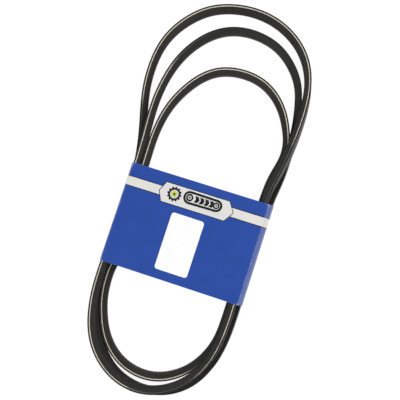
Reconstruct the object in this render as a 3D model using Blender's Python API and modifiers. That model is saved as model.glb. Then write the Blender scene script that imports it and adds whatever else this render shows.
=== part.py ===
"""V-belt coiled into three loops and held flat by a printed card sleeve.

The belt is one endless band, A section, built as its four bonded layers.
Y runs along the coil, X across it, and Z is up from the table.
The origin is the middle of the sleeve's underside.
"""
import math

import bmesh
import bpy
import numpy as np

MM = 0.001
SHARP_ANGLE = math.radians(35.0)

# Belt section, measured from the middle of the cords: +u is towards the back of the belt.
BELT_WIDTH = 12.7
FLANK_ANGLE = math.radians(20.0)
BACK = 2.15
FABRIC_IN = 1.6
CORD_HALF = 0.45
BASE = -5.75
LAYER_GAP = 0.03

# Belt route
STATIONS = 300
ROUTE_STEP = 1.5
ROUTE_SOFTNESS = 9.0

# Sleeve
CARD = 0.6
SLEEVE_HEIGHT = 27.7
# Each side wall runs from a back crease to a front crease, with a little bow between them.
LEFT_WALL = {"back": 80.6, "front": 80.5, "bow": 0.4}
RIGHT_WALL = {"back": 81.0, "front": 78.4, "bow": 1.2}
CREASE_RADIUS = 1.0
LEFT_TAPER = 0.2
HALF_LENGTH = 56.3
LOWER_LENGTH = 56.9
LENGTH_SKEW_TOP = 0.4
LENGTH_SKEW_BOTTOM = 0.7
SLEEVE_ROWS = 6
WALL_POINTS = 5
BACK_SPLIT = -30.0
FRONT_SPLIT = 26.0
FLAP_FROM = 12.0
FLAP_TO = 38.0
FLAP_SLOPE = 4.0
FLAP_SETBACK = 0.5

# Glue between the card's overlapping ends
GLUE_GAP = 0.04
GLUE = 0.16
GLUE_WIDTH = 15.0
GLUE_LENGTH = 96.0
GLUE_CENTRE_X = 22.5

# Paper label on the front panel
LABEL_WIDTH = 37.1
LABEL_LENGTH = 63.9
LABEL_THICK = 0.12
LABEL_CORNER = 3.2
LABEL_CENTRE = (-1.9, -14.8)
LABEL_LEAN = math.radians(0.55)
LABEL_GAP = 0.04

# Belt route in mm: x, y, z of the cord centre and the roll of the section in degrees.
# A positive roll leans the back of the belt inwards, a negative one lifts the base.
OUTER_TOP_LOOP = [
    (73.7, 0, 20.15, 0), (73.6, 28, 20.15, 0), (73.35, 46, 20.15, 0), (73.4, 56, 19.85, 0),
    (73.9, 66, 21.7, 3), (75.6, 76, 26.7, 4), (78.2, 87, 31.7, 6), (80.6, 98, 33.4, 8),
    (82.4, 109, 33.6, 10), (83.8, 124, 31.6, 10), (84.5, 144, 25.6, 7), (84.1, 165, 20.6, 3),
    (81.5, 187, 19.4, -2), (75.5, 205.5, 16.5, -8), (65, 222, 12.5, -15),
    (49, 236.5, 9, -20), (25.5, 248, 7.2, -23), (-1, 252, 7.0, -24), (-28, 248.5, 6.95, -24),
    (-51, 239, 6.95, -23), (-69, 223.5, 6.85, -19), (-83, 204.5, 6.75, -12), (-91, 184, 6.6, -5),
    (-93.5, 162.5, 6.5, -2), (-93, 141, 6.5, 0), (-89, 119.5, 6.5, 0), (-83.5, 98, 6.5, 0),
    (-79, 77.5, 6.5, 0), (-76.6, 61, 7, 0), (-75.4, 48, 7.2, 0), (-70.8, 34, 7.2, 0),
    (-62.2, 18, 7.2, 0), (-56, 2, 7.2, 0), (-55, -14, 7.2, 0), (-59, -32, 7.2, 0), (-66, -48, 7.2, 0)]
INNER_BOTTOM_LOOP = [
    (-69.3, -61, 7.2, 0), (-69.3, -76, 7.2, 0), (-67.7, -94.5, 7.2, 1), (-63.0, -109.5, 7.2, 1),
    (-56.9, -124.7, 7.3, -2), (-46.9, -140, 7.4, -7), (-30.6, -153.9, 7.5, -13), (-13.3, -160.7, 7.7, -18),
    (3, -162.5, 8.1, -21), (18.7, -159.9, 8.3, -22), (34, -152.5, 8.3, -20), (48.8, -140.5, 8.1, -14),
    (60.9, -122.1, 7.5, -7), (68.1, -101.3, 7.2, -2), (69.8, -82, 7.2, 0), (69.9, -56, 7.2, 0),
    (69.9, -20, 7.2, 0), (69.9, 20, 7.2, 0), (69.9, 46, 7.2, 0)]
INNER_TOP_LOOP = [
    (69.8, 57, 7.15, 0), (70.5, 66, 8.7, 0), (71.3, 76, 13.6, 0), (73.3, 88, 19.3, 0), (76.7, 99, 20.2, 0),
    (78.9, 109, 20.2, 0), (78.4, 119, 19.8, -2), (75.9, 130, 18.4, -4), (70.6, 141, 15, -8),
    (60.5, 158.5, 9.5, -12), (43, 175, 6.95, -16), (23, 183.5, 6.75, -17), (0, 184.5, 6.75, -17),
    (-21, 179, 6.75, -16), (-37.5, 166.5, 6.95, -13), (-51.5, 147.5, 7.8, -9), (-61, 127, 10, -5),
    (-65.5, 107, 13.8, -2), (-67, 87, 17.6, 0), (-66.6, 67.5, 19.8, 0), (-66.5, 48, 20.2, 0),
    (-66.3, 28, 20.2, 0), (-66, 12, 20.0, 0), (-66, -4, 14.5, 0), (-67, -18, 8.6, 0), (-70.2, -32, 7.2, 0),
    (-75.8, -45, 7.2, 0)]
UNDER_BOTTOM_LOOP = [
    (-77.4, -55, 7.2, 0), (-77.5, -73.5, 7.2, 0), (-76.4, -91, 7.2, 0), (-72.7, -108, 7.2, 0),
    (-65.7, -125, 7.2, -4), (-57.5, -141, 7.3, -8), (-44.7, -157, 7.4, -10), (-26, -170.6, 7.6, -10),
    (0, -177.4, 8.2, -10), (23.2, -175, 8.3, -10), (43.6, -165.5, 8.3, -8), (57.3, -153, 7.7, -6),
    (66.8, -138, 7.2, -4), (72.8, -121.8, 7.2, 0), (76.5, -102, 7.2, 0), (77.9, -82.5, 7.2, 0),
    (78, -58, 7.2, 0), (78, -20, 7.2, 0), (77.95, 20, 7.2, 0), (77.87, 46, 7.2, 0), (77.7, 57, 7.2, 0)]
MIDDLE_TOP_LOOP = [
    (79.4, 71, 7.0, 0), (81.4, 87, 6.5, 0), (81.8, 109, 6.6, 0), (81.1, 130, 6.6, 0), (79.6, 148.5, 6.6, 0),
    (75.7, 168, 6.6, -2), (69.5, 188.5, 6.6, -6), (58, 205, 6.75, -10), (39.5, 220.5, 6.75, -13),
    (20.5, 227.5, 6.75, -15), (0, 229.5, 6.75, -15), (-20, 226, 6.75, -15), (-38, 216.5, 6.75, -13),
    (-54, 200.5, 6.85, -10), (-65.5, 182, 7.4, -6), (-72.5, 162.5, 9.6, -2), (-76, 142, 13.6, 0),
    (-77, 122.5, 18.2, 0), (-76.3, 104, 20.15, 0), (-75.3, 81.5, 20.3, 0), (-74.9, 63, 20.2, 0),
    (-75, 40, 20.2, 0), (-75.4, 0, 20.2, 0), (-75.8, -36, 20.2, 0)]
OUTER_BOTTOM_LOOP = [
    (-77.1, -56, 20.2, 0), (-77.3, -74, 20.2, 0), (-76.9, -90, 20.2, 0), (-74.4, -107, 20.2, -3),
    (-69.3, -126, 20.2, -8), (-60.3, -144.2, 20.2, -12), (-46.8, -159.6, 20.3, -16),
    (-26.4, -172.8, 20.5, -18), (-2, -178.2, 20.9, -19), (18.7, -174.8, 21.0, -19),
    (35.6, -166.7, 20.9, -17), (50.8, -153.3, 20.5, -11), (63.4, -135, 20.2, -5),
    (69.6, -118.8, 20.2, 0), (73, -100, 20.15, 2), (74.2, -80.5, 20.15, 2), (74.2, -58.5, 20.15, 1),
    (73.8, -30, 20.15, 0)]


def clear_scene():
    for found in list(bpy.data.objects):
        bpy.data.objects.remove(found)


def material(name, colour, roughness=0.6):
    made = bpy.data.materials.new(name)
    made.use_nodes = True
    shader = made.node_tree.nodes["Principled BSDF"]
    shader.inputs["Base Color"].default_value = (*colour, 1.0)
    shader.inputs["Roughness"].default_value = roughness
    made.diffuse_color = (*colour, 1.0)
    return made


def add_node(name, mesh_data, finish, collection):
    bmesh.ops.recalc_face_normals(mesh_data, faces=mesh_data.faces)
    mesh = bpy.data.meshes.new(name)
    mesh_data.to_mesh(mesh)
    mesh_data.free()
    mesh.materials.append(finish)
    mesh.shade_smooth()
    mesh.set_sharp_from_angle(angle=SHARP_ANGLE)
    made = bpy.data.objects.new(name, mesh)
    collection.objects.link(made)
    return made


def dense_loop(points):
    """A closed Catmull-Rom curve through the points, as many short chords."""
    rows = np.array(points, dtype=float)
    steps = np.linspace(0.0, 1.0, 16, endpoint=False)[:, None]
    pieces = []
    for index in range(len(rows)):
        before, start, end, after = (rows[(index + shift) % len(rows)] for shift in (-1, 0, 1, 2))
        pieces.append(0.5 * (2 * start + (end - before) * steps
                             + (2 * before - 5 * start + 4 * end - after) * steps ** 2
                             + (3 * start - before - 3 * end + after) * steps ** 3))
    return np.concatenate(pieces)


def even_loop(rows, count):
    """The same closed curve at evenly spaced stations."""
    closed = np.vstack([rows, rows[:1]])
    lengths = np.linalg.norm(np.diff(closed[:, :3], axis=0), axis=1)
    along = np.concatenate([[0.0], np.cumsum(lengths)])
    wanted = np.linspace(0.0, along[-1], count, endpoint=False)
    return np.column_stack([np.interp(wanted, along, closed[:, column]) for column in range(4)]), along[-1]


def softened(rows, step, spread):
    """Evens out small kinks, as the belt's own stiffness does."""
    reach = int(3 * spread / step)
    offsets = np.arange(-reach, reach + 1)
    weights = np.exp(-0.5 * (offsets * step / spread) ** 2)
    weights /= weights.sum()
    return sum(weight * np.roll(rows, -offset, axis=0) for weight, offset in zip(weights, offsets))


def belt_route(count=STATIONS):
    """Stations of x, y, z and roll along the whole belt."""
    points = (OUTER_TOP_LOOP + INNER_BOTTOM_LOOP + INNER_TOP_LOOP
              + UNDER_BOTTOM_LOOP + MIDDLE_TOP_LOOP + OUTER_BOTTOM_LOOP)
    rows = dense_loop(points)
    length = even_loop(rows, 10)[1]
    rows = even_loop(rows, int(length / ROUTE_STEP))[0]
    rows = softened(rows, ROUTE_STEP, ROUTE_SOFTNESS)
    return even_loop(rows, count)[0]


def route_frames(rows):
    """The cord centre at each station, with the section's two axes there."""
    centres = rows[:, :3]
    tangents = np.roll(centres, -1, axis=0) - np.roll(centres, 1, axis=0)
    tangents /= np.linalg.norm(tangents, axis=1)[:, None]
    outward = np.column_stack([tangents[:, 1], -tangents[:, 0], np.zeros(len(rows))])
    outward /= np.linalg.norm(outward, axis=1)[:, None]
    upward = np.cross(outward, tangents)
    roll = np.radians(rows[:, 3])[:, None]
    to_back = np.cos(roll) * outward + np.sin(roll) * upward
    across = np.cos(roll) * upward - np.sin(roll) * outward
    return centres, to_back, across


def half_width(u):
    return 0.5 * BELT_WIDTH - (BACK - u) * math.tan(FLANK_ANGLE)


def belt_layer(name, inner, outer, frames, finish, collection):
    """One bonded layer of the belt, as a closed ring of four-sided sections."""
    centres, to_back, across = frames
    corners = [(inner, -half_width(inner)), (outer, -half_width(outer)),
               (outer, half_width(outer)), (inner, half_width(inner))]
    made = bmesh.new()
    rings = []
    for centre, back, wide in zip(centres, to_back, across):
        rings.append([made.verts.new((centre + u * back + v * wide) * MM) for u, v in corners])
    for index, ring in enumerate(rings):
        following = rings[(index + 1) % len(rings)]
        for side in range(3):
            made.faces.new((ring[side], ring[side + 1], following[side + 1]))
            made.faces.new((ring[side], following[side + 1], following[side]))
        # The inner face is split along the same diagonal as the outer face of the layer next to it.
        made.faces.new((ring[3], ring[0], following[3]))
        made.faces.new((ring[0], following[0], following[3]))
    add_node(name, made, finish, collection)


def add_belt(collection):
    frames = route_frames(belt_route())
    black = material("belt_rubber", (0.035, 0.035, 0.034), 0.7)
    layers = [
        ("belt_back_fabric", FABRIC_IN, BACK, material("belt_fabric", (0.02, 0.02, 0.022), 0.85)),
        ("belt_tension_rubber", CORD_HALF + LAYER_GAP, FABRIC_IN - LAYER_GAP, black),
        ("belt_tensile_cord", -CORD_HALF, CORD_HALF, material("belt_cord", (0.72, 0.66, 0.42), 0.8)),
        ("belt_compression_rubber", BASE, -CORD_HALF - LAYER_GAP, black.copy())]
    for name, inner, outer, finish in layers:
        belt_layer(name, inner, outer, frames, finish, collection)


def arc(centre_x, centre_z, radius, start, end, count=4):
    angles = np.radians(np.linspace(start, end, count))
    return [(centre_x + radius * math.cos(a), centre_z + radius * math.sin(a)) for a in angles]


def side_wall(sign, wall, low, high):
    """Points up one slightly bowed side of the sleeve, between its two creases."""
    points = []
    for share in np.linspace(0.0, 1.0, WALL_POINTS + 2)[1:-1]:
        bow = wall["bow"] * math.sin(math.pi * share)
        outer = wall["back"] + (wall["front"] - wall["back"]) * share + bow
        points.append((sign * (outer - 0.5 * CARD), low + (high - low) * share))
    return points


def sleeve_profile():
    """The card's middle surface as (x, z), from the outer end on the back to the glued flap."""
    half = 0.5 * CARD
    floor = half
    top = SLEEVE_HEIGHT - half
    radius = CREASE_RADIUS
    inset = half + radius
    step = CARD + GLUE + 2 * GLUE_GAP
    points = [(FLAP_FROM, floor), (BACK_SPLIT, floor)]
    points += arc(inset - LEFT_WALL["back"], floor + radius, radius, 270, 180)
    points += side_wall(-1, LEFT_WALL, floor + radius, top - radius)
    points += arc(inset - LEFT_WALL["front"], top - radius, radius, 180, 90)
    points += [(-FRONT_SPLIT, top), (FRONT_SPLIT, top)]
    points += arc(RIGHT_WALL["front"] - inset, top - radius, radius, 90, 0)
    points += side_wall(1, RIGHT_WALL, floor + radius, top - radius)[::-1]
    points += arc(RIGHT_WALL["back"] - inset, floor + radius, radius, 0, -90)
    points += [(FLAP_TO + FLAP_SLOPE, floor), (FLAP_TO, floor + step),
               (FLAP_FROM + FLAP_SETBACK, floor + step)]
    return np.array(points)


def shift_for_taper(x, y):
    """The left side of the sleeve widens towards the lower end."""
    return x if x > 0 else x * (1 - LEFT_TAPER / LEFT_WALL["back"] * y / HALF_LENGTH)


def sleeve_end(x, side):
    """Where the cut end lies at x, at the upper end for a positive side and the lower for a negative."""
    if side > 0:
        return HALF_LENGTH + LENGTH_SKEW_TOP * x / RIGHT_WALL["back"]
    return -LOWER_LENGTH - LENGTH_SKEW_BOTTOM * x / RIGHT_WALL["back"]


def add_card_sleeve(collection):
    """A flat grid bent round the coil as the card's middle surface, then thickened both ways."""
    profile = sleeve_profile()
    made = bmesh.new()
    bmesh.ops.create_grid(made, x_segments=len(profile) - 1, y_segments=SLEEVE_ROWS, size=1.0)
    for vert in made.verts:
        x, z = profile[round(0.5 * (vert.co.x + 1.0) * (len(profile) - 1))]
        y = abs(vert.co.y) * sleeve_end(x, vert.co.y)
        vert.co = (shift_for_taper(x, y) * MM, y * MM, z * MM)
    sleeve = add_node("card_sleeve", made, material("sleeve_card", (0.035, 0.085, 0.38), 0.45), collection)
    card = sleeve.modifiers.new("card", "SOLIDIFY")
    card.thickness = CARD * MM
    card.offset = 0.0
    card.use_even_offset = True
    card.use_quality_normals = True


def add_seam_glue(collection):
    """The thin band of glue that holds the overlap on the back."""
    made = bmesh.new()
    bmesh.ops.create_cube(made, size=1.0)
    size = (GLUE_WIDTH * MM, GLUE_LENGTH * MM, GLUE * MM)
    bmesh.ops.scale(made, vec=size, verts=made.verts)
    glue = add_node("seam_glue", made, material("glue", (0.85, 0.8, 0.62), 0.3), collection)
    glue.location = (GLUE_CENTRE_X * MM, 0.0, (CARD + GLUE_GAP + 0.5 * GLUE) * MM)


def add_label(collection):
    """The blank paper label, a flat outline with rounded corners."""
    half_x = 0.5 * LABEL_WIDTH - LABEL_CORNER
    half_y = 0.5 * LABEL_LENGTH - LABEL_CORNER
    outline = []
    for sign_x, sign_y, start in ((1, 1, 0), (-1, 1, 90), (-1, -1, 180), (1, -1, 270)):
        outline += arc(sign_x * half_x, sign_y * half_y, LABEL_CORNER, start, start + 90, 6)
    curve = bpy.data.curves.new("part_label", "CURVE")
    curve.dimensions = "2D"
    curve.fill_mode = "BOTH"
    curve.extrude = 0.5 * LABEL_THICK * MM
    spline = curve.splines.new("POLY")
    spline.points.add(len(outline) - 1)
    for point, (x, y) in zip(spline.points, outline):
        point.co = (x * MM, y * MM, 0.0, 1.0)
    spline.use_cyclic_u = True
    curve.materials.append(material("label_paper", (0.9, 0.9, 0.9), 0.5))
    label = bpy.data.objects.new("part_label", curve)
    middle = SLEEVE_HEIGHT + LABEL_GAP + 0.5 * LABEL_THICK
    label.location = (LABEL_CENTRE[0] * MM, LABEL_CENTRE[1] * MM, middle * MM)
    label.rotation_euler.z = -LABEL_LEAN
    collection.objects.link(label)


def main():
    clear_scene()
    collection = bpy.data.collections.new("sleeved_v_belt")
    bpy.context.scene.collection.children.link(collection)
    add_belt(collection)
    add_card_sleeve(collection)
    add_seam_glue(collection)
    add_label(collection)


main()
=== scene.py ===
"""Looks of the V-belt coiled into three loops and held flat by a printed card sleeve.

The belt is rebuilt as finely divided bonded layers along the same route as its solids.
The sleeve is one card blank, printed, scored and folded round the coil. On its back, the raised
flap stops just short of the blank's other end and doesn't lap over it.
All lengths are in millimetres until they are written to a mesh.
"""
import math

import bmesh
import bpy
import numpy as np
from mathutils import Matrix, Vector, geometry


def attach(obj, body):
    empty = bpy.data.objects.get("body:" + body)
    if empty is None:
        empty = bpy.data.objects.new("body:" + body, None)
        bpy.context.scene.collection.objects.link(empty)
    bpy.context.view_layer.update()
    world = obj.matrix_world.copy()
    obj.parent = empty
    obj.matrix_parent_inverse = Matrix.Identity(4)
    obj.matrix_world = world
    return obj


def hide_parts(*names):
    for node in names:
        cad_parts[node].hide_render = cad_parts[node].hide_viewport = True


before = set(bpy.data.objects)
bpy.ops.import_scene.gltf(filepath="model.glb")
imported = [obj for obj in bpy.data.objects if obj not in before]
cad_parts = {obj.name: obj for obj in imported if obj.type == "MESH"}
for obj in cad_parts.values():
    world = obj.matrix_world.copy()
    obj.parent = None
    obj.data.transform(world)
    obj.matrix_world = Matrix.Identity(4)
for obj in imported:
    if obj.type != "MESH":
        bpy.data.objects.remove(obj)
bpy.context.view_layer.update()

MM = 0.001

# Belt section, measured from the middle of the cords: +u is towards the back of the belt, +v across it.
# Facets are the middle points of rounded corners, as distances in from the corner along u and v.
BELT_WIDTH = 12.7
FLANK_ANGLE = math.radians(20.0)
BACK = 2.15
FABRIC_IN = 1.6
CORD_HALF = 0.45
BASE = -5.75
BASE_ROUND = 0.45
BASE_FACET = (0.12, 0.14)
BASE_FLAT_INSET = 2.2
FLANK_MIDDLE = -4.0
CUSHION_LINE = -1.5
CUSHION_HALF = 0.12
CUSHION_GROOVE = 0.05
CORD_BULGE = 0.09
CORD_ARC = (0.2, 0.4, 0.6, 0.8)
TENSION_HOLLOW = 0.03
FABRIC_INSET = 0.02
BACK_ROUND = 0.22
BACK_FACET = (0.06, 0.07)
BACK_FLAT_INSET = 2.4
BELT_SHARP = 38.0

# Belt route
STATIONS = 1440
ROUTE_STEP = 1.5
ROUTE_SOFTNESS = 9.0
CHORDS = 16

# Sleeve: two creased walls, and on the back a raised flap that stops short of the blank's other end
CARD = 0.6
SLEEVE_HEIGHT = 27.7
LEFT_WALL = {"back": 80.6, "front": 80.5, "bow": 0.4}
RIGHT_WALL = {"back": 81.0, "front": 78.4, "bow": 1.2}
WALL_POINTS = 13
CREASE_RADIUS = 1.0
LEFT_TAPER = 0.2
LEFT_LEAN = {"bottom": 0.75, "top": 2.6}
LEAN_AT_BACK = 0.15
HALF_LENGTH = 56.3
LOWER_LENGTH = 56.9
LENGTH_SKEW_TOP = 0.4
LENGTH_SKEW_BOTTOM = 0.7
FLAP_FROM = 12.0
FLAP_TO = 38.0
FLAP_STEP = CARD + 0.24
FLAP_SLOPE = 4.0
FLAP_SETBACK = 0.5
SLEEVE_SHARP = 50.0

# The blank's rows along the sleeve, with two close ones before each cut end
BLANK_ROWS = 29
END_ROWS = (55.1, 55.9)
MERGE = 1e-5

# How far the front panel is out of flat
PANEL_HALF = 62.0
PANEL_SAG = 0.55
SAG_REACH = 75.0
MOUTH_LIFT = 0.22
MOUTH_REACH = 7.0
WAVE = 0.12
WAVE_LENGTHS = (17.0, 23.0)
WAVE_START = 0.6

# Wear on the print as (strength, reach): along the folds, along the cut ends, and where they meet
FOLD_WEAR = (0.62, 1.1)
END_WEAR = (0.6, 0.5)
CORNER_WEAR = 0.25
CORNER_WEAR_REACH = (2.5, 3.0)

# Print on the sleeve's front, in mm across and along it
BAND = (31.3, 40.9)
BAND_LINE = 0.9
PLATE_X = (-37.2, 36.6)
PLATE_TIPS = (-42.6, 44.0)
PLATE_Y = (24.2, 47.3)
PLATE_LINE = 0.85
PLATE_CORNER_SHIFT = 0.6
PLATE_TIP_SHIFT = 1.15

# On the plate: a badge, made of a cog (root radius, tip radius, teeth) with rings in it. A tooth's
# half widths at its foot and its land are shares of the pitch.
BADGE = (-24.6, 36.4)
BADGE_COG = (7.0, 8.3, 12)
BADGE_RINGS = ((4.8, "sky"), (3.6, "yellow"), (2.0, "leaf"), (1.0, "black"))
TOOTH_FOOT = 0.30
TOOTH_LAND = 0.17

# Beside it: a belt round two wheels (x, y, radius), whose hubs and bores are shares of the radius,
# with chevrons (y, width, height, thickness) between them and a thin rule below
LARGE_WHEEL = (-6.9, 37.7, 4.7)
SMALL_WHEEL = (23.4, 37.7, 4.2)
BELT_SPREAD = 2.6
WHEEL_RIM = 0.5
WHEEL_HUB = 0.45
WHEEL_BORE = 0.25
CHEVRONS = (-1.5, 4.1, 9.7, 15.3)
CHEVRON = (37.7, 1.8, 7.0, 4.2)
RULE_X = (-14.6, 30.0)
RULE_Y = (29.7, 30.1)

# Linear colours of the belt: bases, then what lies over them
FLANK_RUBBER = (0.0185, 0.0178, 0.0162)
TENSION_RUBBER = (0.009, 0.009, 0.0088)
LOOSE_FIBRE = (0.11, 0.105, 0.09)
CLOTH_LOW = (0.004, 0.004, 0.0045)
CLOTH_HIGH = (0.014, 0.014, 0.015)
CLOTH_POLISHED = (0.036, 0.036, 0.036)
YARN_LOW = (0.44, 0.415, 0.30)
YARN_HIGH = (0.86, 0.84, 0.70)
COVERED_CORD = (0.024, 0.023, 0.02)
SMEARED_CORD = (0.1, 0.1, 0.09)

# Linear colours of the label, glue and floor as (darker, paler)
LABEL_WHITES = ((0.93, 0.93, 0.935), (0.97, 0.97, 0.97))
GLUE_AMBERS = ((0.62, 0.53, 0.34), (0.85, 0.8, 0.62))
FLOOR_GREYS = ((0.16, 0.16, 0.16), (0.18, 0.18, 0.18))
FLOOR_GLOW = 0.9

# Inks as (name, colour, colour where it is rubbed), in the order of their material numbers
RUBBED_PRINT = (0.62, 0.64, 0.70)
INKS = (
    ("blue", (0.0155, 0.064, 0.345), (0.30, 0.33, 0.50)),
    ("white", (0.755, 0.735, 0.695), RUBBED_PRINT),
    ("plate", (0.73, 0.725, 0.705), RUBBED_PRINT),
    ("dark", (0.004, 0.006, 0.03), RUBBED_PRINT),
    ("black", (0.006, 0.006, 0.006), RUBBED_PRINT),
    ("grey", (0.58, 0.58, 0.58), RUBBED_PRINT),
    ("yellow", (0.72, 0.66, 0.08), RUBBED_PRINT),
    ("sky", (0.55, 0.66, 0.80), RUBBED_PRINT),
    ("leaf", (0.22, 0.42, 0.08), RUBBED_PRINT))
INK_ROUGHNESS = 0.36

# Bare board as (name, colour), numbered after the inks
BOARDS = (("inside", (0.60, 0.56, 0.48)), ("edge", (0.70, 0.68, 0.62)))
BOARD_FLECK = (0.24, 0.2, 0.15)

# Paper label on the front panel
LABEL_WIDTH = 37.1
LABEL_LENGTH = 63.9
LABEL_THICK = 0.12
LABEL_CORNER = 3.2
LABEL_ARC = 12
LABEL_CENTRE = (-1.9, -14.8)
LABEL_LEAN = math.radians(0.55)
LABEL_GAP = 0.04
LABEL_RIM = 0.15
LABEL_RIM_DROP = 0.03
LABEL_MARGIN = 1.5
LABEL_KEEP_IN = 0.8
LABEL_GRID = (10, 17)

# Camera: the view's tilt and turn, the point it looks at in mm along the tilted axes, its distance
# and far limit in m, and its focal length in mm
TILT = math.radians(6.0)
TURN = math.radians(17.6)
AIM = (1.83, 38.6, 20.0)
DISTANCE = 3.0
FAR_LIMIT = 20.0
FOCAL = 248.8

# Studio, in metres and watts: lights as (name, place, size, power)
LIGHTS = (("key_right", (0.8, 0.35, 1.6), 1.1, 15.5), ("fill_left", (-1.3, -0.6, 1.9), 1.6, 19.0))
LIGHTS_AIM = (0.0, 0.03, 0.01)
WORLD_STRENGTH = 0.42
FLOOR_HALF = 6.0
FLOOR_CELLS = 24
FLOOR_DROP = 0.0003

# Belt route in mm: x, y, z of the cord centre and the roll of the section in degrees.
# A positive roll leans the back of the belt inwards, a negative one lifts the base.
OUTER_TOP_LOOP = [
    (73.7, 0, 20.15, 0), (73.6, 28, 20.15, 0), (73.35, 46, 20.15, 0), (73.4, 56, 19.85, 0),
    (73.9, 66, 21.7, 3), (75.6, 76, 26.7, 4), (78.2, 87, 31.7, 6), (80.6, 98, 33.4, 8),
    (82.4, 109, 33.6, 10), (83.8, 124, 31.6, 10), (84.5, 144, 25.6, 7), (84.1, 165, 20.6, 3),
    (81.5, 187, 19.4, -2), (75.5, 205.5, 16.5, -8), (65, 222, 12.5, -15),
    (49, 236.5, 9, -20), (25.5, 248, 7.2, -23), (-1, 252, 7.0, -24), (-28, 248.5, 6.95, -24),
    (-51, 239, 6.95, -23), (-69, 223.5, 6.85, -19), (-83, 204.5, 6.75, -12), (-91, 184, 6.6, -5),
    (-93.5, 162.5, 6.5, -2), (-93, 141, 6.5, 0), (-89, 119.5, 6.5, 0), (-83.5, 98, 6.5, 0),
    (-79, 77.5, 6.5, 0), (-76.6, 61, 7, 0), (-75.4, 48, 7.2, 0), (-70.8, 34, 7.2, 0),
    (-62.2, 18, 7.2, 0), (-56, 2, 7.2, 0), (-55, -14, 7.2, 0), (-59, -32, 7.2, 0), (-66, -48, 7.2, 0)]
INNER_BOTTOM_LOOP = [
    (-69.3, -61, 7.2, 0), (-69.3, -76, 7.2, 0), (-67.7, -94.5, 7.2, 1), (-63.0, -109.5, 7.2, 1),
    (-56.9, -124.7, 7.3, -2), (-46.9, -140, 7.4, -7), (-30.6, -153.9, 7.5, -13), (-13.3, -160.7, 7.7, -18),
    (3, -162.5, 8.1, -21), (18.7, -159.9, 8.3, -22), (34, -152.5, 8.3, -20), (48.8, -140.5, 8.1, -14),
    (60.9, -122.1, 7.5, -7), (68.1, -101.3, 7.2, -2), (69.8, -82, 7.2, 0), (69.9, -56, 7.2, 0),
    (69.9, -20, 7.2, 0), (69.9, 20, 7.2, 0), (69.9, 46, 7.2, 0)]
INNER_TOP_LOOP = [
    (69.8, 57, 7.15, 0), (70.5, 66, 8.7, 0), (71.3, 76, 13.6, 0), (73.3, 88, 19.3, 0), (76.7, 99, 20.2, 0),
    (78.9, 109, 20.2, 0), (78.4, 119, 19.8, -2), (75.9, 130, 18.4, -4), (70.6, 141, 15, -8),
    (60.5, 158.5, 9.5, -12), (43, 175, 6.95, -16), (23, 183.5, 6.75, -17), (0, 184.5, 6.75, -17),
    (-21, 179, 6.75, -16), (-37.5, 166.5, 6.95, -13), (-51.5, 147.5, 7.8, -9), (-61, 127, 10, -5),
    (-65.5, 107, 13.8, -2), (-67, 87, 17.6, 0), (-66.6, 67.5, 19.8, 0), (-66.5, 48, 20.2, 0),
    (-66.3, 28, 20.2, 0), (-66, 12, 20.0, 0), (-66, -4, 14.5, 0), (-67, -18, 8.6, 0), (-70.2, -32, 7.2, 0),
    (-75.8, -45, 7.2, 0)]
UNDER_BOTTOM_LOOP = [
    (-77.4, -55, 7.2, 0), (-77.5, -73.5, 7.2, 0), (-76.4, -91, 7.2, 0), (-72.7, -108, 7.2, 0),
    (-65.7, -125, 7.2, -4), (-57.5, -141, 7.3, -8), (-44.7, -157, 7.4, -10), (-26, -170.6, 7.6, -10),
    (0, -177.4, 8.2, -10), (23.2, -175, 8.3, -10), (43.6, -165.5, 8.3, -8), (57.3, -153, 7.7, -6),
    (66.8, -138, 7.2, -4), (72.8, -121.8, 7.2, 0), (76.5, -102, 7.2, 0), (77.9, -82.5, 7.2, 0),
    (78, -58, 7.2, 0), (78, -20, 7.2, 0), (77.95, 20, 7.2, 0), (77.87, 46, 7.2, 0), (77.7, 57, 7.2, 0)]
MIDDLE_TOP_LOOP = [
    (79.4, 71, 7.0, 0), (81.4, 87, 6.5, 0), (81.8, 109, 6.6, 0), (81.1, 130, 6.6, 0), (79.6, 148.5, 6.6, 0),
    (75.7, 168, 6.6, -2), (69.5, 188.5, 6.6, -6), (58, 205, 6.75, -10), (39.5, 220.5, 6.75, -13),
    (20.5, 227.5, 6.75, -15), (0, 229.5, 6.75, -15), (-20, 226, 6.75, -15), (-38, 216.5, 6.75, -13),
    (-54, 200.5, 6.85, -10), (-65.5, 182, 7.4, -6), (-72.5, 162.5, 9.6, -2), (-76, 142, 13.6, 0),
    (-77, 122.5, 18.2, 0), (-76.3, 104, 20.15, 0), (-75.3, 81.5, 20.3, 0), (-74.9, 63, 20.2, 0),
    (-75, 40, 20.2, 0), (-75.4, 0, 20.2, 0), (-75.8, -36, 20.2, 0)]
OUTER_BOTTOM_LOOP = [
    (-77.1, -56, 20.2, 0), (-77.3, -74, 20.2, 0), (-76.9, -90, 20.2, 0), (-74.4, -107, 20.2, -3),
    (-69.3, -126, 20.2, -8), (-60.3, -144.2, 20.2, -12), (-46.8, -159.6, 20.3, -16),
    (-26.4, -172.8, 20.5, -18), (-2, -178.2, 20.9, -19), (18.7, -174.8, 21.0, -19),
    (35.6, -166.7, 20.9, -17), (50.8, -153.3, 20.5, -11), (63.4, -135, 20.2, -5),
    (69.6, -118.8, 20.2, 0), (73, -100, 20.15, 2), (74.2, -80.5, 20.15, 2), (74.2, -58.5, 20.15, 1),
    (73.8, -30, 20.15, 0)]

LOOPS = (OUTER_TOP_LOOP, INNER_BOTTOM_LOOP, INNER_TOP_LOOP,
         UNDER_BOTTOM_LOOP, MIDDLE_TOP_LOOP, OUTER_BOTTOM_LOOP)

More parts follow.
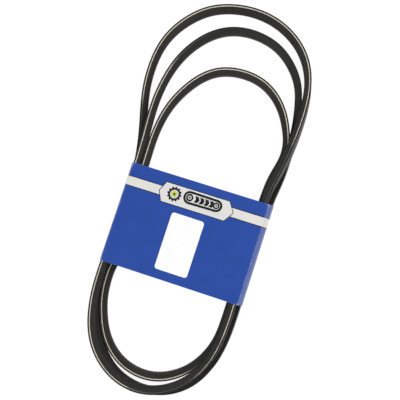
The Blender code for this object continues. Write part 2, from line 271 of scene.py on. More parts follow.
# How clearly the cut cord shows on the flank, as (loop, point of that loop, share).
CORD_SHOWS = [
    (0, 0, 0.5), (0, 8, 0.5), (0, 10, 1.0), (0, 24, 1.0), (0, 26, 0.5), (0, 28, 0.35), (1, 0, 1.0),
    (1, 10, 1.0), (1, 11, 0.7), (1, 12, 0.05), (2, 4, 0.05), (2, 7, 1.0), (2, 20, 1.0), (3, 0, 0.3),
    (4, 0, 0.3), (4, 2, 0.05), (4, 10, 0.05), (4, 12, 0.3), (4, 14, 0.5), (4, 15, 1.0), (5, 7, 1.0),
    (5, 9, 0.4), (5, 11, 0.4), (5, 12, 0.8), (5, 16, 1.0), (5, 17, 0.5)]


# ---- Node helpers -------------------------------------------------------------------------------

def new_material(name):
    made = bpy.data.materials.new(name)
    made.use_nodes = True
    return made, made.node_tree, made.node_tree.nodes["Principled BSDF"]


def add(tree, kind, inputs=None, **settings):
    """A node with its settings and the values or links of its inputs."""
    made = tree.nodes.new("ShaderNode" + kind)
    for name, value in settings.items():
        setattr(made, name, value)
    for name, value in (inputs or {}).items():
        if isinstance(value, bpy.types.NodeSocket):
            tree.links.new(value, made.inputs[name])
        else:
            made.inputs[name].default_value = value
    return made


def maths(tree, operation, first, second):
    return add(tree, "Math", {0: first, 1: second}, operation=operation).outputs[0]


def mixed(tree, share, first, second):
    """A colour that goes from first to second as share goes from 0 to 1."""
    made = add(tree, "Mix", data_type="RGBA")
    for socket, value in ((0, share), (6, first), (7, second)):
        if isinstance(value, bpy.types.NodeSocket):
            tree.links.new(value, made.inputs[socket])
        else:
            made.inputs[socket].default_value = value if socket == 0 else (*value, 1.0)
    return made.outputs[2]


def ramp(tree, value, low, high):
    """0 up to low, 1 from high, smooth between them."""
    made = add(tree, "MapRange", {"Value": value, "From Min": low, "From Max": high},
               interpolation_type="SMOOTHSTEP")
    return made.outputs["Result"]


def noise_of(tree, place, scale, detail, roughness, stretch=(1, 1, 1)):
    moved = add(tree, "Mapping", {"Vector": place, "Scale": stretch})
    made = add(tree, "TexNoise", {"Vector": moved.outputs[0], "Scale": scale, "Detail": detail,
                                  "Roughness": roughness})
    return made.outputs["Fac"]


def bump_of(tree, height, distance, strength):
    made = add(tree, "Bump", {"Height": height, "Distance": distance, "Strength": strength})
    return made.outputs["Normal"]


def attribute_of(tree, name):
    return add(tree, "Attribute", attribute_name=name).outputs


def belt_place(tree):
    """Where a point is on the belt: mm along it, mm round its section, and how the cord shows."""
    return attribute_of(tree, "belt_place")["Vector"]


def object_place(tree):
    return add(tree, "TexCoord").outputs["Object"]


def wave_of(tree, place, turn, scale, distortion, detail, detail_scale, direction):
    """Bands across a direction, in a place turned by an angle in degrees."""
    turned = add(tree, "Mapping", {"Vector": place, "Rotation": (0.0, 0.0, math.radians(turn))})
    made = add(tree, "TexWave", {"Vector": turned.outputs[0], "Scale": scale, "Distortion": distortion,
                                 "Detail": detail, "Detail Scale": detail_scale},
               bands_direction=direction)
    return made.outputs["Fac"]


def between(tree, value, low, high):
    """A value from 0 to 1 carried over to the range from low to high."""
    return add(tree, "MapRange", {"Value": value, "To Min": low, "To Max": high}).outputs["Result"]


def scaled(colour, factor, lift=0.0):
    return tuple(min(1.0, factor * part + lift) for part in colour)


def wire_up(tree, shader, **sockets):
    """Links values to the shader's sockets, named with underscores."""
    for name, value in sockets.items():
        tree.links.new(value, shader.inputs[name.replace("_", " ")])


# ---- Materials ----------------------------------------------------------------------------------

def rubber_material(name, colour, fibre_share):
    """Ground flanks: fine lines along the belt, short pale fibres, a little dust in the hollows."""
    made, tree, shader = new_material(name)
    place = belt_place(tree)
    streaks = noise_of(tree, place, scale=1.0, detail=4.0, roughness=0.65, stretch=(0.05, 2.6, 1.0))
    grains = noise_of(tree, place, scale=1.0, detail=5.0, roughness=0.7, stretch=(1.6, 2.2, 1.0))
    fibres = noise_of(tree, place, scale=1.0, detail=2.0, roughness=0.5, stretch=(3.4, 0.9, 1.0))
    cloud = noise_of(tree, place, scale=1.0, detail=3.0, roughness=0.55, stretch=(0.018, 0.12, 1.0))
    shade = mixed(tree, ramp(tree, cloud, 0.3, 0.72), scaled(colour, 0.55), colour)
    dust = maths(tree, "MULTIPLY", ramp(tree, streaks, 0.5, 0.8), 0.55)
    shade = mixed(tree, dust, shade, scaled(colour, 2.1, 0.006))
    specks = maths(tree, "MULTIPLY", ramp(tree, fibres, 0.69, 0.78), fibre_share)
    shade = mixed(tree, specks, shade, LOOSE_FIBRE)
    height = maths(tree, "ADD", maths(tree, "MULTIPLY", streaks, 0.7), maths(tree, "MULTIPLY", grains, 0.6))
    wire_up(tree, shader, Base_Color=shade, Roughness=between(tree, grains, 0.55, 0.85),
            Normal=bump_of(tree, height, distance=0.00022, strength=0.8))
    shader.inputs["Specular IOR Level"].default_value = 0.32
    return made


def fabric_material():
    """Rubber-coated back fabric: a fine bias weave, flattened and slightly polished."""
    made, tree, shader = new_material("belt_back_cloth")
    place = belt_place(tree)
    warp, weft = (wave_of(tree, place, turn=58, scale=0.42, distortion=0.6, detail=1.0,
                          detail_scale=2.0, direction=direction) for direction in ("X", "Y"))
    weave = maths(tree, "MULTIPLY", warp, weft)
    rub = noise_of(tree, place, scale=1.0, detail=4.0, roughness=0.6, stretch=(0.06, 0.3, 1.0))
    shade = mixed(tree, ramp(tree, weave, 0.1, 0.8), CLOTH_LOW, CLOTH_HIGH)
    polished = maths(tree, "MULTIPLY", ramp(tree, rub, 0.45, 0.75), 0.5)
    shade = mixed(tree, polished, shade, CLOTH_POLISHED)
    wire_up(tree, shader, Base_Color=shade, Roughness=between(tree, rub, 0.62, 0.42),
            Normal=bump_of(tree, weave, distance=0.00012, strength=0.7))
    shader.inputs["Specular IOR Level"].default_value = 0.4
    return made


def cord_material():
    """Cut edge of the tensile cords: cream twisted yarn, smeared dark where rubber covers it."""
    made, tree, shader = new_material("belt_cut_cord")
    place = belt_place(tree)
    shows = add(tree, "SeparateXYZ", {"Vector": place}).outputs["Z"]
    twist = wave_of(tree, place, turn=35, scale=0.3, distortion=1.2, detail=2.0, detail_scale=2.5,
                    direction="X")
    smear = noise_of(tree, place, scale=1.0, detail=4.0, roughness=0.6, stretch=(0.09, 0.9, 0.0))
    yarn = mixed(tree, ramp(tree, twist, 0.05, 0.85), YARN_LOW, YARN_HIGH)
    covered = maths(tree, "ADD", smear, maths(tree, "SUBTRACT", 0.78, shows))
    film = mixed(tree, ramp(tree, shows, 0.2, 0.6), COVERED_CORD, SMEARED_CORD)
    shade = mixed(tree, ramp(tree, covered, 0.28, 0.72), yarn, film)
    wire_up(tree, shader, Base_Color=shade, Normal=bump_of(tree, twist, distance=0.00016, strength=0.8))
    shader.inputs["Roughness"].default_value = 0.82
    shader.inputs["Specular IOR Level"].default_value = 0.3
    return made


def ink_material(name, colour, worn):
    """Printed and varnished card: paper fibre under the ink, mottle, and scuffs along the folds."""
    made, tree, shader = new_material(name)
    place = object_place(tree)
    wear = attribute_of(tree, "wear")["Fac"]
    fibre = noise_of(tree, place, scale=900.0, detail=4.0, roughness=0.65, stretch=(1.0, 0.45, 1.0))
    mottle = noise_of(tree, place, scale=55.0, detail=4.0, roughness=0.6)
    scuff = noise_of(tree, place, scale=420.0, detail=5.0, roughness=0.7, stretch=(1.0, 0.6, 1.0))
    shade = mixed(tree, ramp(tree, mottle, 0.3, 0.7), scaled(colour, 0.97), scaled(colour, 1.02, 0.002))
    rubbed = ramp(tree, maths(tree, "ADD", wear, maths(tree, "MULTIPLY", scuff, 0.8)), 0.78, 1.25)
    shade = mixed(tree, rubbed, shade, worn)
    gloss = maths(tree, "ADD", maths(tree, "MULTIPLY", fibre, 0.16), maths(tree, "MULTIPLY", rubbed, 0.3))
    gloss = maths(tree, "ADD", gloss, INK_ROUGHNESS - 0.08)
    wire_up(tree, shader, Base_Color=shade, Roughness=gloss,
            Normal=bump_of(tree, fibre, distance=0.00004, strength=0.5))
    shader.inputs["Specular IOR Level"].default_value = 0.2
    return made


def board_material(name, colour):
    """Bare board: the uncoated inside of the sleeve and its cut edges."""
    made, tree, shader = new_material(name)
    place = object_place(tree)
    fibre = noise_of(tree, place, scale=700.0, detail=5.0, roughness=0.7, stretch=(1.0, 0.35, 1.0))
    fleck = noise_of(tree, place, scale=240.0, detail=3.0, roughness=0.6)
    shade = mixed(tree, ramp(tree, fibre, 0.35, 0.65), scaled(colour, 0.82), scaled(colour, 1.12))
    flecks = maths(tree, "MULTIPLY", ramp(tree, fleck, 0.66, 0.74), 0.6)
    shade = mixed(tree, flecks, shade, BOARD_FLECK)
    wire_up(tree, shader, Base_Color=shade, Normal=bump_of(tree, fibre, distance=0.00008, strength=0.7))
    shader.inputs["Roughness"].default_value = 0.88
    return made


def label_material():
    """Coated white label stock."""
    made, tree, shader = new_material("label_stock")
    place = object_place(tree)
    fibre = noise_of(tree, place, scale=1100.0, detail=4.0, roughness=0.6)
    cloud = noise_of(tree, place, scale=70.0, detail=3.0, roughness=0.5)
    shade = mixed(tree, ramp(tree, cloud, 0.3, 0.7), *LABEL_WHITES)
    wire_up(tree, shader, Base_Color=shade, Normal=bump_of(tree, fibre, distance=0.00003, strength=0.4))
    shader.inputs["Roughness"].default_value = 0.5
    return made


def glue_material():
    """Dried adhesive, slightly amber and uneven."""
    made, tree, shader = new_material("dried_glue")
    place = object_place(tree)
    pools = noise_of(tree, place, scale=160.0, detail=4.0, roughness=0.6)
    shade = mixed(tree, ramp(tree, pools, 0.35, 0.7), *GLUE_AMBERS)
    wire_up(tree, shader, Base_Color=shade, Normal=bump_of(tree, pools, distance=0.00015, strength=0.6))
    shader.inputs["Roughness"].default_value = 0.3
    return made


def floor_material():
    """Matt, and pale by its own even glow."""
    made, tree, shader = new_material("pale_floor")
    place = object_place(tree)
    cloud = noise_of(tree, place, scale=3.0, detail=3.0, roughness=0.5)
    shade = mixed(tree, cloud, *FLOOR_GREYS)
    wire_up(tree, shader, Base_Color=shade)
    shader.inputs["Roughness"].default_value = 0.9
    shader.inputs["Specular IOR Level"].default_value = 0.1
    shader.inputs["Emission Color"].default_value = (1.0, 1.0, 1.0, 1.0)
    shader.inputs["Emission Strength"].default_value = FLOOR_GLOW
    return made


# ---- Belt ---------------------------------------------------------------------------------------

def dense_loop(points):
    """A closed Catmull-Rom curve through the points, as many short chords."""
    rows = np.array(points, dtype=float)
    steps = np.linspace(0.0, 1.0, CHORDS, endpoint=False)[:, None]
    pieces = []
    for index in range(len(rows)):
        before, start, end, after = (rows[(index + shift) % len(rows)] for shift in (-1, 0, 1, 2))
        curve = 0.5 * (2 * start + (end - before) * steps
                       + (2 * before - 5 * start + 4 * end - after) * steps ** 2
                       + (3 * start - before - 3 * end + after) * steps ** 3)
        pieces.append(np.hstack([curve, index + steps]))
    return np.concatenate(pieces)


def even_loop(rows, count):
    """The same closed curve at evenly spaced stations, and its length."""
    closed = np.vstack([rows, rows[:1]])
    lengths = np.linalg.norm(np.diff(closed[:, :3], axis=0), axis=1)
    along = np.concatenate([[0.0], np.cumsum(lengths)])
    wanted = np.linspace(0.0, along[-1], count, endpoint=False)
    columns = [np.interp(wanted, along, closed[:, column]) for column in range(closed.shape[1])]
    return np.column_stack(columns), along[-1]


def softened(rows, step, spread):
    """Evens out small kinks, as the belt's own stiffness does."""
    reach = int(3 * spread / step)
    offsets = np.arange(-reach, reach + 1)
    weights = np.exp(-0.5 * (offsets * step / spread) ** 2)
    weights /= weights.sum()
    return sum(weight * np.roll(rows, -offset, axis=0) for weight, offset in zip(weights, offsets))


def belt_route():
    """Stations of x, y, z, roll and control point number, and the belt's length."""
    rows = dense_loop([point for loop in LOOPS for point in loop])
    length = even_loop(rows, 10)[1]
    rows = even_loop(rows, int(length / ROUTE_STEP))[0]
    rows[:, :4] = softened(rows[:, :4], ROUTE_STEP, ROUTE_SOFTNESS)
    return even_loop(rows, STATIONS)


def route_frames(rows):
    """The cord centre at each station, with the section's two axes there."""
    centres = rows[:, :3]
    tangents = np.roll(centres, -1, axis=0) - np.roll(centres, 1, axis=0)
    tangents /= np.linalg.norm(tangents, axis=1)[:, None]
    outward = np.column_stack([tangents[:, 1], -tangents[:, 0], np.zeros(len(rows))])
    outward /= np.linalg.norm(outward, axis=1)[:, None]
    upward = np.cross(outward, tangents)
    roll = np.radians(rows[:, 3])[:, None]
    to_back = np.cos(roll) * outward + np.sin(roll) * upward
    across = np.cos(roll) * upward - np.sin(roll) * outward
    return centres, to_back, across


def cord_shares(numbers):
    """How clearly the cord shows at each station."""
    starts = np.cumsum([0] + [len(loop) for loop in LOOPS])
    known = [starts[loop] + point for loop, point, _ in CORD_SHOWS]
    return np.interp(numbers, known, [share for _, _, share in CORD_SHOWS])


def half_width(u):
    """Half the wedge's width at a height u in its section."""
    return 0.5 * BELT_WIDTH - (BACK - u) * math.tan(FLANK_ANGLE)


def mirrored(side):
    """A closed outline from the points up its +v side, lowest u first."""
    return [(u, -v) for u, v in side] + [(u, v) for u, v in reversed(side)]


def body_outline():
    """Compression rubber: rounded base corners and a fine line under the cushion rubber."""
    base = half_width(BASE)
    side = [(BASE, base - BASE_FLAT_INSET), (BASE, base - BASE_ROUND),
            (BASE + BASE_FACET[0], base - BASE_FACET[1]),
            (BASE + BASE_ROUND, half_width(BASE + BASE_ROUND)),
            (FLANK_MIDDLE, half_width(FLANK_MIDDLE)),
            (CUSHION_LINE - CUSHION_HALF, half_width(CUSHION_LINE - CUSHION_HALF)),
            (CUSHION_LINE, half_width(CUSHION_LINE) - CUSHION_GROOVE),
            (CUSHION_LINE + CUSHION_HALF, half_width(CUSHION_LINE + CUSHION_HALF)),
            (-CORD_HALF, half_width(-CORD_HALF))]
    return mirrored(side)


def cord_outline():
    """Cord layer: its cut edge stands slightly proud of the flank."""
    side = [(-CORD_HALF, half_width(-CORD_HALF))]
    for share in CORD_ARC:
        u = -CORD_HALF + 2 * CORD_HALF * share
        side.append((u, half_width(u) + CORD_BULGE * math.sin(math.pi * share)))
    side.append((CORD_HALF, half_width(CORD_HALF)))
    return mirrored(side)


def tension_outline():
    """Tension rubber: a slightly hollow flank between the cords and the fabric."""
    middle = 0.5 * (CORD_HALF + FABRIC_IN)
    side = [(CORD_HALF, half_width(CORD_HALF)), (middle, half_width(middle) - TENSION_HOLLOW),
            (FABRIC_IN, half_width(FABRIC_IN))]
    return mirrored(side)


def fabric_outline():
    """Back fabric: rounded where the back meets the flanks."""
    wide = half_width(BACK)
    side = [(FABRIC_IN, half_width(FABRIC_IN) - FABRIC_INSET),
            (BACK - BACK_ROUND, half_width(BACK - BACK_ROUND)),
            (BACK - BACK_FACET[0], wide - BACK_FACET[1]), (BACK, wide - BACK_ROUND),
            (BACK, wide - BACK_FLAT_INSET)]
    return mirrored(side)


def ring_mesh(name, outline, frames, shares, length):
    """Sweeps a closed outline round the whole belt, and notes each corner's place on the belt."""
    centres, to_back, across = frames
    section = np.array(outline)
    points = (centres[:, None, :] + section[None, :, 0, None] * to_back[:, None, :]
              + section[None, :, 1, None] * across[:, None, :])
    stations, corners = points.shape[:2]
    here = np.arange(stations)[:, None]
    following = (here + 1) % stations
    corner = np.arange(corners)[None, :]
    beside = (corner + 1) % corners
    faces = np.stack([here * corners + corner, here * corners + beside,
                      following * corners + beside, following * corners + corner], axis=-1)
    mesh = bpy.data.meshes.new(name)
    mesh.from_pydata((points.reshape(-1, 3) * MM).tolist(), [], faces.reshape(-1, 4).tolist())
    gaps = np.linalg.norm(np.roll(section, -1, axis=0) - section, axis=1)
    round_it = np.concatenate([[0.0], np.cumsum(gaps)])
    step = length / stations
    index = np.arange(stations)
    share_next = np.roll(shares, -1)
    place = np.zeros((stations, corners, 4, 3))
    for loop, (forward, side) in enumerate(((0, 0), (0, 1), (1, 1), (1, 0))):
        place[:, :, loop, 0] = ((index + forward) * step)[:, None]
        place[:, :, loop, 1] = (round_it[1:] if side else round_it[:-1])[None, :]
        place[:, :, loop, 2] = (share_next if forward else shares)[:, None]
    layer = mesh.attributes.new("belt_place", "FLOAT_VECTOR", "CORNER")
    layer.data.foreach_set("vector", place.reshape(-1).astype(np.float32))
    return mesh


def finish_mesh(mesh, sharp_angle):
    """Turns every face outwards and shades it smooth between edges sharper than the angle, in degrees."""
    made = bmesh.new()
    made.from_mesh(mesh)
    bmesh.ops.recalc_face_normals(made, faces=made.faces)
    made.to_mesh(mesh)
    made.free()
    mesh.shade_smooth()
    mesh.set_sharp_from_angle(angle=math.radians(sharp_angle))


def place_piece(name, mesh, body, slot, *nodes):
    """A visible piece on its body, with the solids that it replaces. The slot is not used."""
    made = bpy.data.objects.new(name, mesh)
    bpy.context.scene.collection.objects.link(made)
    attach(made, body)
    if nodes:
        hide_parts(*nodes)
    return made


def build_belt():
    rows, length = belt_route()
    frames = route_frames(rows)
    shares = cord_shares(rows[:, 4])
    flank = rubber_material("flank_rubber", FLANK_RUBBER, fibre_share=0.8)
    tension = rubber_material("tension_rubber", TENSION_RUBBER, fibre_share=0.2)
    layers = [
        ("belt_body_rubber", body_outline(), flank, "belt_rubber", "belt_compression_rubber"),
        ("belt_cord_layer", cord_outline(), cord_material(), "belt_cord", "belt_tensile_cord"),
        ("belt_tension_layer", tension_outline(), tension, "belt_rubber", "belt_tension_rubber"),
        ("belt_back_cover", fabric_outline(), fabric_material(), "belt_fabric", "belt_back_fabric")]
    for name, outline, finish, slot, node in layers:
        mesh = ring_mesh(name, outline, frames, shares, length)
        finish_mesh(mesh, BELT_SHARP)
        mesh.materials.append(finish)
        place_piece(name, mesh, "belt", slot, node)


# ---- Sleeve -------------------------------------------------------------------------------------

def arc(centre_x, centre_z, radius, start, end, count=8):
    """Points along an arc between two angles in degrees."""
    angles = np.radians(np.linspace(start, end, count))
    return [(centre_x + radius * math.cos(a), centre_z + radius * math.sin(a)) for a in angles]


def side_wall(sign, wall, low, high):
    """Points up one slightly bowed side of the sleeve, between its two creases."""
    points = []
    for share in np.linspace(0.0, 1.0, WALL_POINTS)[1:-1]:
        bow = wall["bow"] * math.sin(math.pi * share)
        outer = wall["back"] + (wall["front"] - wall["back"]) * share + bow
        points.append((sign * (outer - 0.5 * CARD), low + (high - low) * share))
    return points


def straight(start, end, step=4.0):
    """Points along a straight run, without its two ends."""
    start = np.array(start)
    end = np.array(end)
    count = max(2, int(round(np.linalg.norm(end - start) / step)))
    return [tuple(start + (end - start) * share) for share in np.linspace(0.0, 1.0, count + 1)[1:-1]]


def sleeve_profile():
    """The card's middle surface as (x, z), from its end on the back, round the coil, to the flap.

    The four creases' points come with it, starting from the back of the left wall.
    """
    half = 0.5 * CARD
    floor = half
    top = SLEEVE_HEIGHT - half
    radius = CREASE_RADIUS
    inset = half + radius
    corners = [
        arc(inset - LEFT_WALL["back"], floor + radius, radius, 270, 180),
        arc(inset - LEFT_WALL["front"], top - radius, radius, 180, 90),
        arc(RIGHT_WALL["front"] - inset, top - radius, radius, 90, 0),
        arc(RIGHT_WALL["back"] - inset, floor + radius, radius, 0, -90)]
    flap = [(FLAP_TO + FLAP_SLOPE, floor), (FLAP_TO, floor + FLAP_STEP),
            (FLAP_FROM + FLAP_SETBACK, floor + FLAP_STEP)]
    points = [(FLAP_FROM, floor)] + straight((FLAP_FROM, floor), corners[0][0]) + corners[0]
    points += side_wall(-1, LEFT_WALL, floor + radius, top - radius) + corners[1]
    points += straight(corners[1][-1], corners[2][0]) + corners[2]
    points += side_wall(1, RIGHT_WALL, floor + radius, top - radius)[::-1] + corners[3]
    points += straight(corners[3][-1], flap[0]) + flap[:2] + straight(flap[1], flap[2]) + flap[2:]
    return np.array(points), corners


def offset_profile(points, distance):
    """The profile moved sideways by a distance, corners mitred."""
    before = np.vstack([points[:1] * 2 - points[1:2], points[:-1]])
    after = np.vstack([points[1:], points[-1:] * 2 - points[-2:-1]])
    first = points - before
    second = after - points
    first /= np.linalg.norm(first, axis=1)[:, None]
    second /= np.linalg.norm(second, axis=1)[:, None]
    normals = np.column_stack([-(first + second)[:, 1], (first + second)[:, 0]])
    normals /= np.linalg.norm(normals, axis=1)[:, None]
    mitre = np.sum(normals * np.column_stack([-first[:, 1], first[:, 0]]), axis=1)
    return points + distance * normals / mitre[:, None]


def fading(distance, reach):
    """1 at no distance, and close to 0 beyond about twice the reach."""
    return np.exp(-(distance / reach) ** 2)


def panel_shift(x, y):
    """How far the front panel is out of flat: a shallow sag, and a little lift at its open ends."""
    middle = np.clip(1.0 - (x / PANEL_HALF) ** 2, 0.0, 1.0) ** 2
    ends = fading(HALF_LENGTH - np.abs(y), MOUTH_REACH)
    wave = WAVE * np.sin(x / WAVE_LENGTHS[0] + WAVE_START) * np.cos(y / WAVE_LENGTHS[1])
    return middle * (MOUTH_LIFT * ends - PANEL_SAG * (1.0 - (y / SAG_REACH) ** 2) + wave)


def sleeve_end(x, sign):
    """How far from the middle the sleeve's upper (+) or lower (-) cut end is at x."""
    upper = HALF_LENGTH + LENGTH_SKEW_TOP * x / RIGHT_WALL["back"]
    lower = LOWER_LENGTH + LENGTH_SKEW_BOTTOM * x / RIGHT_WALL["back"]
    return np.where(sign > 0, upper, lower)


def shift_for_taper(x, y, z):
    """The left side widens towards the lower end, and its front crease leans in over the coil."""
    share = 0.5 + 0.5 * y / HALF_LENGTH
    lean = LEFT_LEAN["bottom"] + (LEFT_LEAN["top"] - LEFT_LEAN["bottom"]) * share
    lean = lean * (LEAN_AT_BACK + (1.0 - LEAN_AT_BACK) * np.clip(z / SLEEVE_HEIGHT, 0.0, 1.0) ** 2)
    narrower = (LEFT_TAPER * y / HALF_LENGTH + lean) / LEFT_WALL["back"]
    return np.where(x > 0, x, x * (1 - narrower))


def circle(x, y, radius, count=40):
    return [(x + radius * math.cos(a), y + radius * math.sin(a))
            for a in np.linspace(0.0, 2 * math.pi, count, endpoint=False)]


def cog(x, y, root, tip, teeth):
    """A toothed wheel's outline with flat-topped teeth."""
    points = []
    for tooth in range(teeth):
        middle = 2 * math.pi * tooth / teeth
        for radius, turn in ((root, -TOOTH_FOOT), (tip, -TOOTH_LAND),
                             (tip, TOOTH_LAND), (root, TOOTH_FOOT)):
            angle = middle + 2 * math.pi * turn / teeth
            points.append((x + radius * math.cos(angle), y + radius * math.sin(angle)))
    return points


def belt_round(first, second, spread, count=26):
    """The outline of a belt that stands a spread outside two wheels, given as (x, y, radius)."""
    gap = second[0] - first[0]
    lean = math.acos((first[2] - second[2]) / gap)
    points = []
    for (x, y, radius), start, end in ((first, lean, 2 * math.pi - lean), (second, -lean, lean)):
        reach = radius + spread
        points += [(x + reach * math.cos(angle), y + reach * math.sin(angle))
                   for angle in np.linspace(start, end, count)]
    return points


def chevron(x, y, wide, high, thick):
    """An arrow head that points to +x, from its back edge at x."""
    half = 0.5 * high
    return [(x, y - half), (x + thick, y - half), (x + thick + wide, y), (x + thick, y + half),
            (x, y + half), (x + wide, y)]


def plate(inset):
    """The six-sided plate on the band, drawn in by an inset."""
    low, high = PLATE_Y[0] + inset, PLATE_Y[1] - inset
    left, right = PLATE_X[0] + PLATE_CORNER_SHIFT * inset, PLATE_X[1] - PLATE_CORNER_SHIFT * inset
    tips = PLATE_TIPS[0] + PLATE_TIP_SHIFT * inset, PLATE_TIPS[1] - PLATE_TIP_SHIFT * inset
    middle = 0.5 * (low + high)
    return [(left, low), (right, low), (tips[1], middle), (right, high), (left, high), (tips[0], middle)]


def stripe(x_range, y_range):
    """A rectangle's outline."""
    (left, right), (low, high) = x_range, y_range
    return [(left, low), (right, low), (right, high), (left, high)]


def front_print():
    """The printed shapes on the front panel, first painted first, as (outline, ink)."""
    shapes = [(plate(0.0), "dark"), (plate(PLATE_LINE), "plate"), (cog(*BADGE, *BADGE_COG), "black")]
    shapes += [(circle(*BADGE, radius), ink) for radius, ink in BADGE_RINGS]
    shapes += [(belt_round(LARGE_WHEEL, SMALL_WHEEL, BELT_SPREAD), "black"),
               (belt_round(LARGE_WHEEL, SMALL_WHEEL, 0.0), "plate")]
    for x, y, radius in (LARGE_WHEEL, SMALL_WHEEL):
        shapes += [(circle(x, y, radius - WHEEL_RIM), "black"), (circle(x, y, WHEEL_HUB * radius), "plate"),
                   (circle(x, y, WHEEL_BORE * radius), "black")]
    shapes += [(chevron(x, *CHEVRON), "black") for x in CHEVRONS]
    shapes.append((stripe(RULE_X, RULE_Y), "grey"))
    return shapes


def inside(points, outline):
    """Which of the points are inside a closed outline."""
    x, y = points[:, 0], points[:, 1]
    found = np.zeros(len(points), dtype=bool)
    for (x1, y1), (x2, y2) in zip(outline, outline[1:] + outline[:1]):
        if y1 != y2:
            crosses = (y1 > y) != (y2 > y)
            found ^= crosses & (x < (x2 - x1) * (y - y1) / (y2 - y1) + x1)
    return found


def blank_mesh(along, shapes):
    """The flat blank as triangles that keep to its rim and to every printed outline."""
    rows = set(np.round(np.linspace(-HALF_LENGTH, HALF_LENGTH, BLANK_ROWS), 3))
    rows = sorted(rows | {sign * row for row in END_ROWS for sign in (-1.0, 1.0)})
    points = [Vector((s, y)) for s in along for y in rows]
    count = len(rows)
    edges = [(i * count + j, i * count + j + 1) for i in range(len(along)) for j in range(count - 1)]
    edges += [(i * count + j, (i + 1) * count + j) for i in range(len(along) - 1) for j in (0, count - 1)]
    for outline, _ in shapes:
        first = len(points)
        points += [Vector(point) for point in outline]
        edges += [(first + i, first + (i + 1) % len(outline)) for i in range(len(outline))]
    verts, _, faces = geometry.delaunay_2d_cdt(points, edges, [], 0, MERGE)[:3]
    return np.array([tuple(vert) for vert in verts]), np.array(faces)


def boundary_of(faces):
    """Directed edges that belong to one triangle only."""
    sides = [(face[i], face[(i + 1) % 3]) for face in faces.tolist() for i in range(3)]
    known = set(sides)
    return [side for side in sides if (side[1], side[0]) not in known]


def sheet_mesh(name, front, back, faces):
    """A closed sheet between two copies of a triangulated surface, and how many faces its rim has."""
    count = len(front)
    rim = boundary_of(faces)
    shell = faces.tolist() + (faces[:, ::-1] + count).tolist()
    shell += [(b, a, a + count, b + count) for a, b in rim]
    mesh = bpy.data.meshes.new(name)
    mesh.from_pydata((np.vstack([front, back]) * MM).tolist(), [], shell)
    return mesh, len(rim)


def crease_wear(flat, creases):
    """Wear on the printed side: along the folds, and at the cut ends."""
    wear = np.zeros(len(flat))
    for crease in creases:
        wear = np.maximum(wear, FOLD_WEAR[0] * fading(flat[:, 0] - crease, FOLD_WEAR[1]))
    ends = HALF_LENGTH - np.abs(flat[:, 1])
    wear = np.maximum(wear, END_WEAR[0] * fading(ends, END_WEAR[1]))
    corners = sum(fading(flat[:, 0] - crease, CORNER_WEAR_REACH[0]) for crease in creases)
    return np.clip(wear + CORNER_WEAR * corners * fading(ends, CORNER_WEAR_REACH[1]), 0.0, 1.0)


def sleeve_shapes(reach, front):
    """Everything printed, on the flat blank: reach is its length, front its place at x = 0."""
    shapes = [(stripe((0.0, reach), (BAND[0] - BAND_LINE, BAND[1] + BAND_LINE)), "dark"),
              (stripe((0.0, reach), BAND), "white")]
    return shapes + [([(x + front, y) for x, y in outline], ink) for outline, ink in front_print()]


def sleeve_materials():
    """The inks in the order of their numbers, then the bare board."""
    return ([ink_material("ink_" + name, colour, worn) for name, colour, worn in INKS]
            + [board_material("board_" + name, colour) for name, colour in BOARDS])


def build_sleeve():
    middle, corners = sleeve_profile()
    along = np.concatenate([[0.0], np.cumsum(np.linalg.norm(np.diff(middle, axis=0), axis=1))])
    places = {tuple(np.round(point, 6)): s for point, s in zip(middle, along)}
    folds = [[places[tuple(np.round(point, 6))] for point in corner] for corner in corners]
    creases = [0.5 * (fold[0] + fold[-1]) for fold in folds]
    front_from, front_to = folds[1][-1], folds[2][0]

    shapes = sleeve_shapes(along[-1], front_from - corners[1][-1][0])
    flat, faces = blank_mesh(along, shapes)
    numbers = {name: number for number, (name, *_) in enumerate(INKS + BOARDS)}
    colour = np.zeros(len(faces), dtype=int)
    centres = flat[faces].mean(axis=1)
    for outline, ink in shapes:
        colour[inside(centres, outline)] = numbers[ink]

    panel = (flat[:, 0] > front_from) & (flat[:, 0] < front_to)
    share = flat[:, 1] / HALF_LENGTH
    sides = []
    for distance in (0.5 * CARD, -0.5 * CARD):
        profile = offset_profile(middle, distance)
        x = np.interp(flat[:, 0], along, profile[:, 0])
        z = np.interp(flat[:, 0], along, profile[:, 1])
        y = share * sleeve_end(x, share)
        z = z + np.where(panel, panel_shift(x, y), 0.0)
        sides.append(np.column_stack([shift_for_taper(x, y, z), y, z]))
    mesh, rim = sheet_mesh("printed_sleeve", *sides, faces)
    paints = colour.tolist() + [numbers["inside"]] * len(faces) + [numbers["edge"]] * rim
    mesh.polygons.foreach_set("material_index", paints)
    layer = mesh.attributes.new("wear", "FLOAT", "POINT")
    wear = np.concatenate([crease_wear(flat, creases), np.zeros(len(flat))])
    layer.data.foreach_set("value", wear.astype(np.float32))
    finish_mesh(mesh, SLEEVE_SHARP)
    for finish in sleeve_materials():
        mesh.materials.append(finish)
    place_piece("printed_sleeve", mesh, "sleeve", "printed_card", "card_sleeve")


def label_outline(grow):
    """The label's rounded outline, grown or shrunk by its corner radius."""
    half_x = 0.5 * LABEL_WIDTH - LABEL_CORNER
    half_y = 0.5 * LABEL_LENGTH - LABEL_CORNER
    outline = []
    for sign_x, sign_y, start in ((1, 1, 0), (-1, 1, 90), (-1, -1, 180), (1, -1, 270)):
        outline += arc(sign_x * half_x, sign_y * half_y, LABEL_CORNER + grow, start, start + 90, LABEL_ARC)
    return outline


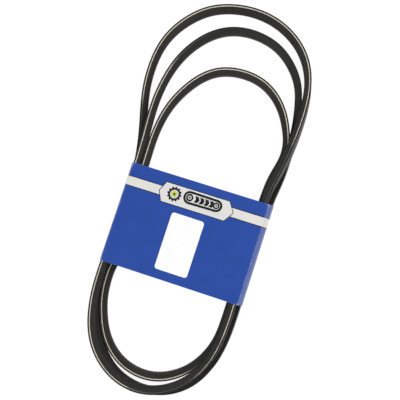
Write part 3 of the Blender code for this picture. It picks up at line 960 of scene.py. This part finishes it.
def label_grid():
    """Points inside the label, clear of its rim."""
    half_x, half_y = 0.5 * LABEL_WIDTH - LABEL_MARGIN, 0.5 * LABEL_LENGTH - LABEL_MARGIN
    columns = np.linspace(-half_x, half_x, LABEL_GRID[0])
    rows = np.linspace(-half_y, half_y, LABEL_GRID[1])
    grid = np.array([(x, y) for x in columns for y in rows])
    return grid[inside(grid, label_outline(-LABEL_KEEP_IN))]


def build_label():
    """The paper label, lying on the panel and following its sag."""
    outer = label_outline(0.0)
    points = [Vector(point) for point in outer + label_outline(-LABEL_RIM)]
    points += [Vector(point) for point in label_grid()]
    count = len(outer)
    edges = [(first + i, first + (i + 1) % count) for first in (0, count) for i in range(count)]
    verts, _, faces = geometry.delaunay_2d_cdt(points, edges, [], 1, MERGE)[:3]
    flat = np.array([tuple(vert) for vert in verts])
    faces = np.array(faces)

    lean_x, lean_y = math.cos(LABEL_LEAN), math.sin(LABEL_LEAN)
    x = LABEL_CENTRE[0] + flat[:, 0] * lean_x + flat[:, 1] * lean_y
    y = LABEL_CENTRE[1] - flat[:, 0] * lean_y + flat[:, 1] * lean_x
    on_edge = np.zeros(len(flat), dtype=bool)
    on_edge[[a for a, _ in boundary_of(faces)]] = True
    low = SLEEVE_HEIGHT + panel_shift(x, y) + LABEL_GAP
    high = low + LABEL_THICK - np.where(on_edge, LABEL_RIM_DROP, 0.0)
    mesh, _ = sheet_mesh("paper_label", np.column_stack([x, y, high]), np.column_stack([x, y, low]), faces)
    finish_mesh(mesh, SLEEVE_SHARP)
    mesh.materials.append(label_material())
    place_piece("paper_label", mesh, "sleeve", "label_paper", "part_label")


# ---- Stage --------------------------------------------------------------------------------------

def camera_axes():
    """The view's right, up and back, and the point it looks at."""
    lean_x = Vector((math.cos(TILT), 0.0, -math.sin(TILT)))
    lean_y = Vector((0.0, 1.0, 0.0))
    back = Vector((math.sin(TILT), 0.0, math.cos(TILT)))
    right = math.cos(TURN) * lean_x + math.sin(TURN) * lean_y
    up = math.cos(TURN) * lean_y - math.sin(TURN) * lean_x
    return right, up, back, (AIM[0] * lean_x + AIM[1] * lean_y + AIM[2] * back) * MM


def build_camera():
    right, up, back, target = camera_axes()
    data = bpy.data.cameras.new("view")
    data.lens = FOCAL
    data.clip_end = FAR_LIMIT
    made = bpy.data.objects.new("view", data)
    bpy.context.scene.collection.objects.link(made)
    turn = Matrix((right, up, back)).transposed().to_4x4()
    made.matrix_world = Matrix.Translation(target + DISTANCE * back) @ turn
    bpy.context.scene.camera = made


def build_floor():
    made = bmesh.new()
    bmesh.ops.create_grid(made, x_segments=FLOOR_CELLS, y_segments=FLOOR_CELLS, size=FLOOR_HALF)
    mesh = bpy.data.meshes.new("floor")
    made.to_mesh(mesh)
    made.free()
    floor = bpy.data.objects.new("floor", mesh)
    floor.location = (0.0, 0.0, -FLOOR_DROP)
    bpy.context.scene.collection.objects.link(floor)
    mesh.materials.append(floor_material())


def area_light(name, place, size, power):
    """A soft square light that faces the middle of the coil."""
    data = bpy.data.lights.new(name, "AREA")
    data.size = size
    data.energy = power
    made = bpy.data.objects.new(name, data)
    made.location = place
    made.rotation_euler = (Vector(place) - Vector(LIGHTS_AIM)).to_track_quat("Z", "Y").to_euler()
    bpy.context.scene.collection.objects.link(made)


def build_lights():
    world = bpy.data.worlds.new("studio")
    world.use_nodes = True
    sky = world.node_tree.nodes["Background"]
    sky.inputs["Color"].default_value = (1.0, 1.0, 1.0, 1.0)
    sky.inputs["Strength"].default_value = WORLD_STRENGTH
    bpy.context.scene.world = world
    for light in LIGHTS:
        area_light(*light)
    bpy.context.scene.view_settings.view_transform = "Standard"


def finish_carried_nodes():
    """The glue keeps its solid's shape and gets its own look."""
    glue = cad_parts["seam_glue"]
    glue.data.materials[0] = glue_material()


build_camera()
build_belt()
build_sleeve()
build_label()
finish_carried_nodes()
build_floor()
build_lights()
